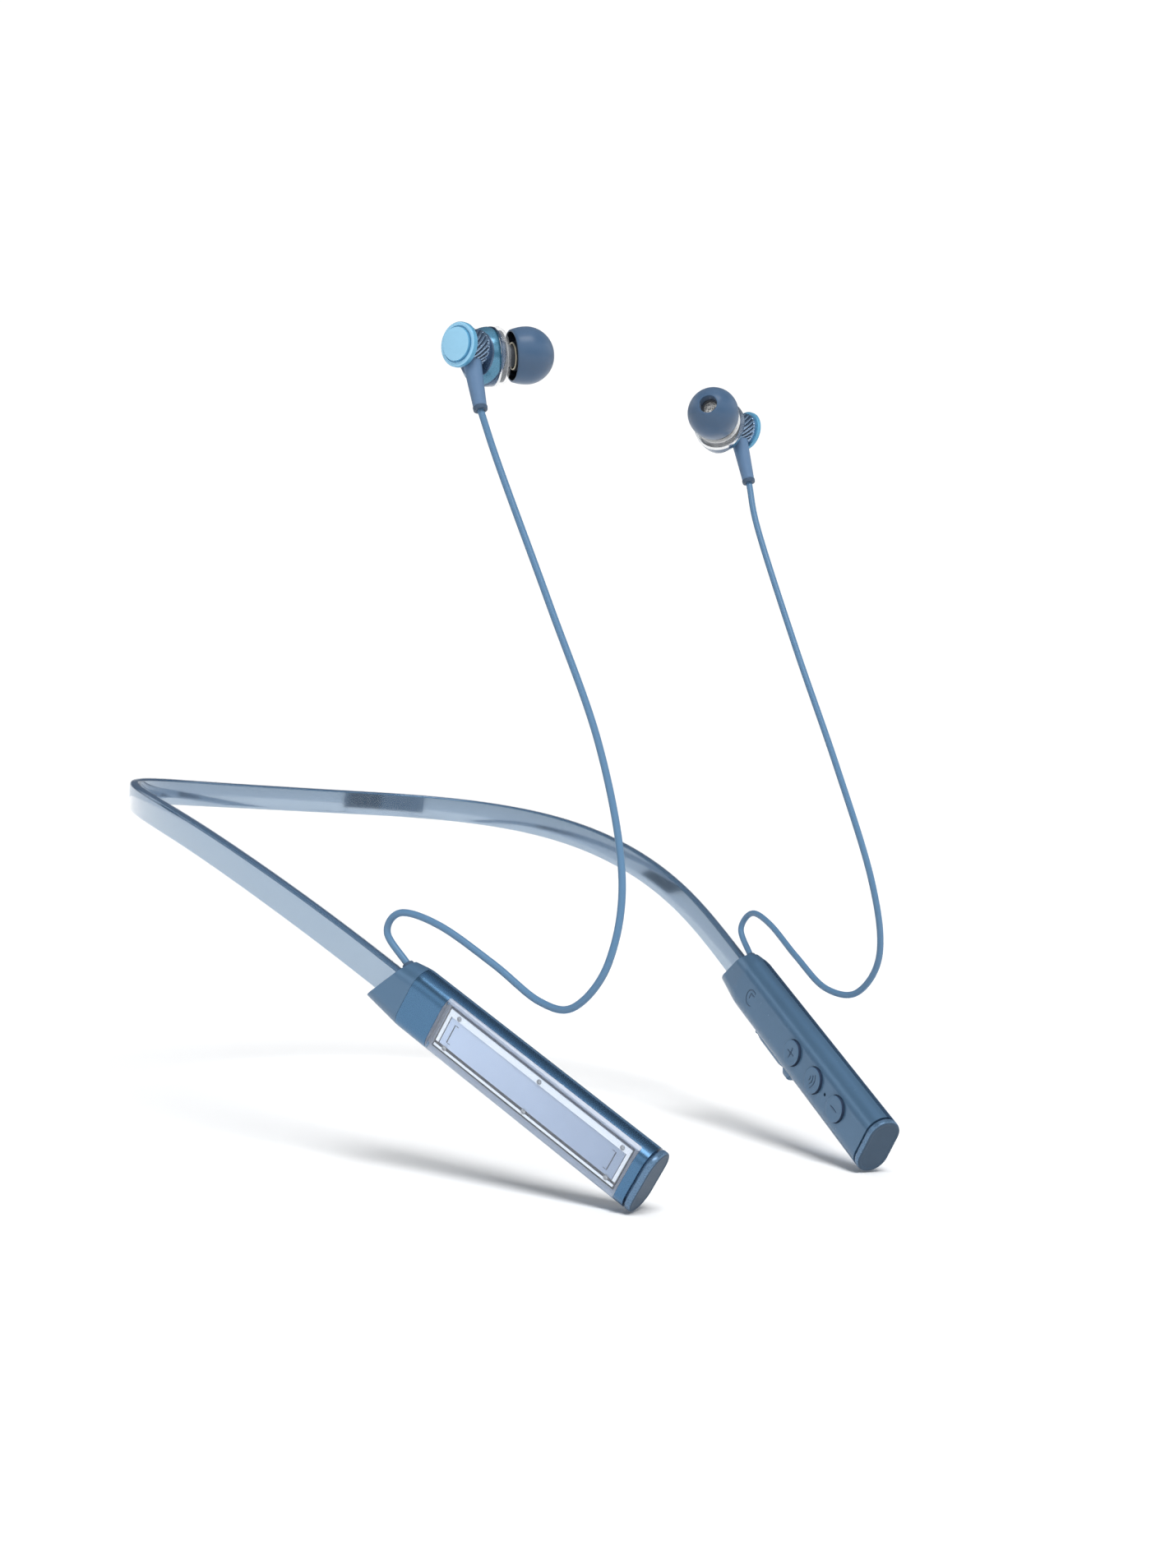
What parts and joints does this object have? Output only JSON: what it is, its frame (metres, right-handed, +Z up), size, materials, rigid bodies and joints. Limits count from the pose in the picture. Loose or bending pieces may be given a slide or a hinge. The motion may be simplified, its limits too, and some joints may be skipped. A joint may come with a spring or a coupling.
{
  "type": "neckband earphones",
  "caption": "Wireless neckband earphones: flexible strap, slim pods with clear windows, and cabled earbuds with silicone tips.",
  "frame": {"origin": "middle of the strap behind the neck, on its centre line", "axes": "as worn: +Z up, -Y towards the wearer's front where the pods and earbuds are, +X towards the wearer's left"},
  "size_m": [0.1416, 0.1895, 0.1824],
  "materials": {
    "strap_blue": "glossy soft plastic with clear edges",
    "core_steel": "memory-metal strip",
    "harness_amber": "flat flexible circuit",
    "shell_matte_blue": "satin moulded",
    "shell_metal_blue": "metallic paint",
    "window_clear": "clear plastic",
    "plate_lavender": "fine satin paint",
    "screw_steel": "polished",
    "cap_slate": "satin moulded",
    "battery_foil": "foil pouch",
    "grommet_rubber": "matte",
    "motor_steel": "satin",
    "board_green": "solder mask",
    "switch_black": "matte",
    "port_steel": "stamped steel",
    "mic_steel": "satin",
    "light_white": "translucent",
    "button_blue": "satin moulded",
    "cover_rubber": "matte",
    "cable_blue": "satin",
    "relief_rubber": "matte",
    "barrel_steel": "diagonal knurl",
    "disc_sky": "satin anodised",
    "magnet_nickel": "nickel plate",
    "housing_blue": "metallic paint",
    "ring_clear": "clear plastic",
    "driver_dark": "matte",
    "mesh_steel": "woven mesh",
    "tip_slate": "matte silicone"
  },
  "bodies": {
    "band_back": {"strap_back": "strap_blue", "core_back": "core_steel", "harness_back": "harness_amber"},
    "arm_right": {"strap_right": "strap_blue", "core_right": "core_steel", "harness_right": "harness_amber", "inner_shell_right": "shell_matte_blue", "outer_shell_right": "shell_metal_blue", "boot_right": "shell_matte_blue", "window_right": "window_clear", "plate_right": "plate_lavender", "plate_screws_right": "screw_steel", "end_cap_right": "cap_slate", "battery_right": "battery_foil", "grommet_right": "grommet_rubber", "vibration_motor": "motor_steel"},
    "cable_right": {"cable_right": "cable_blue"},
    "earbud_right": {"relief_right": "relief_rubber", "barrel_right": "barrel_steel", "disc_cap_right": "disc_sky", "magnet_right": "magnet_nickel", "housing_right": "housing_blue", "front_ring_right": "ring_clear", "driver_right": "driver_dark", "nozzle_mesh_right": "mesh_steel"},
    "ear_tip_right": {"ear_tip_right": "tip_slate"},
    "arm_left": {"strap_left": "strap_blue", "core_left": "core_steel", "harness_left": "harness_amber", "inner_shell_left": "shell_matte_blue", "outer_shell_left": "shell_metal_blue", "boot_left": "shell_matte_blue", "window_left": "window_clear", "plate_left": "plate_lavender", "plate_screws_left": "screw_steel", "end_cap_left": "cap_slate", "battery_left": "battery_foil", "grommet_left": "grommet_rubber", "board": "board_green", "tact_switches": "switch_black", "usb_port": "port_steel", "microphone": "mic_steel", "status_light": "light_white"},
    "cable_left": {"cable_left": "cable_blue"},
    "earbud_left": {"relief_left": "relief_rubber", "barrel_left": "barrel_steel", "disc_cap_left": "disc_sky", "magnet_left": "magnet_nickel", "housing_left": "housing_blue", "front_ring_left": "ring_clear", "driver_left": "driver_dark", "nozzle_mesh_left": "mesh_steel"},
    "ear_tip_left": {"ear_tip_left": "tip_slate"},
    "button_plus": {"button_plus": "button_blue"},
    "button_multi": {"button_multi": "button_blue"},
    "button_minus": {"button_minus": "button_blue"},
    "port_cover": {"port_cover": "cover_rubber"}
  },
  "joints": [
    {"name": "strap_flex_right", "type": "hinge", "parent": "band_back", "child": "arm_right", "pos_m": [-0.06055, -0.02967, -0.00161], "axis": [0.0765, 0.0744, -0.9943], "range_deg": [-6, 18]},
    {"name": "cable_swing_right", "type": "hinge", "parent": "arm_right", "child": "cable_right", "pos_m": [-0.05615, -0.13095, -0.03398], "axis": [0.9587, 0.2758, 0.0698], "range_deg": [-20, 10]},
    {"name": "earbud_tilt_right", "type": "hinge", "parent": "cable_right", "child": "earbud_right", "pos_m": [-0.0451, -0.1318, 0.0838], "axis": [-0.0133, -0.9482, 0.3175], "range_deg": [-25, 25]},
    {"name": "ear_tip_pull_right", "type": "slide", "parent": "earbud_right", "child": "ear_tip_right", "axis": [0.8789, -0.4494, 0.1598], "range_m": [0, 0.006]},
    {"name": "strap_flex_left", "type": "hinge", "parent": "band_back", "child": "arm_left", "pos_m": [0.06055, -0.02967, -0.00161], "axis": [0.0765, -0.0744, 0.9943], "range_deg": [-6, 18]},
    {"name": "cable_swing_left", "type": "hinge", "parent": "arm_left", "child": "cable_left", "pos_m": [0.05615, -0.13095, -0.03398], "axis": [0.9587, -0.2758, -0.0698], "range_deg": [-20, 10]},
    {"name": "earbud_tilt_left", "type": "hinge", "parent": "cable_left", "child": "earbud_left", "pos_m": [0.0451, -0.1318, 0.0838], "axis": [-0.0133, 0.9482, -0.3175], "range_deg": [-25, 25]},
    {"name": "ear_tip_pull_left", "type": "slide", "parent": "earbud_left", "child": "ear_tip_left", "axis": [-0.8789, -0.4494, 0.1598], "range_m": [0, 0.006]},
    {"name": "button_plus_press", "type": "slide", "parent": "arm_left", "child": "button_plus", "axis": [0.9587, -0.2758, -0.0698], "range_m": [0, 0.00035]},
    {"name": "button_multi_press", "type": "slide", "parent": "arm_left", "child": "button_multi", "axis": [0.9587, -0.2758, -0.0698], "range_m": [0, 0.00035]},
    {"name": "button_minus_press", "type": "slide", "parent": "arm_left", "child": "button_minus", "axis": [0.9587, -0.2758, -0.0698], "range_m": [0, 0.00035]},
    {"name": "port_cover_swing", "type": "hinge", "parent": "arm_left", "child": "port_cover", "pos_m": [0.05269, -0.1385, -0.05164], "axis": [0.9587, -0.2758, -0.0698], "range_deg": [0, 90]}
  ]
}
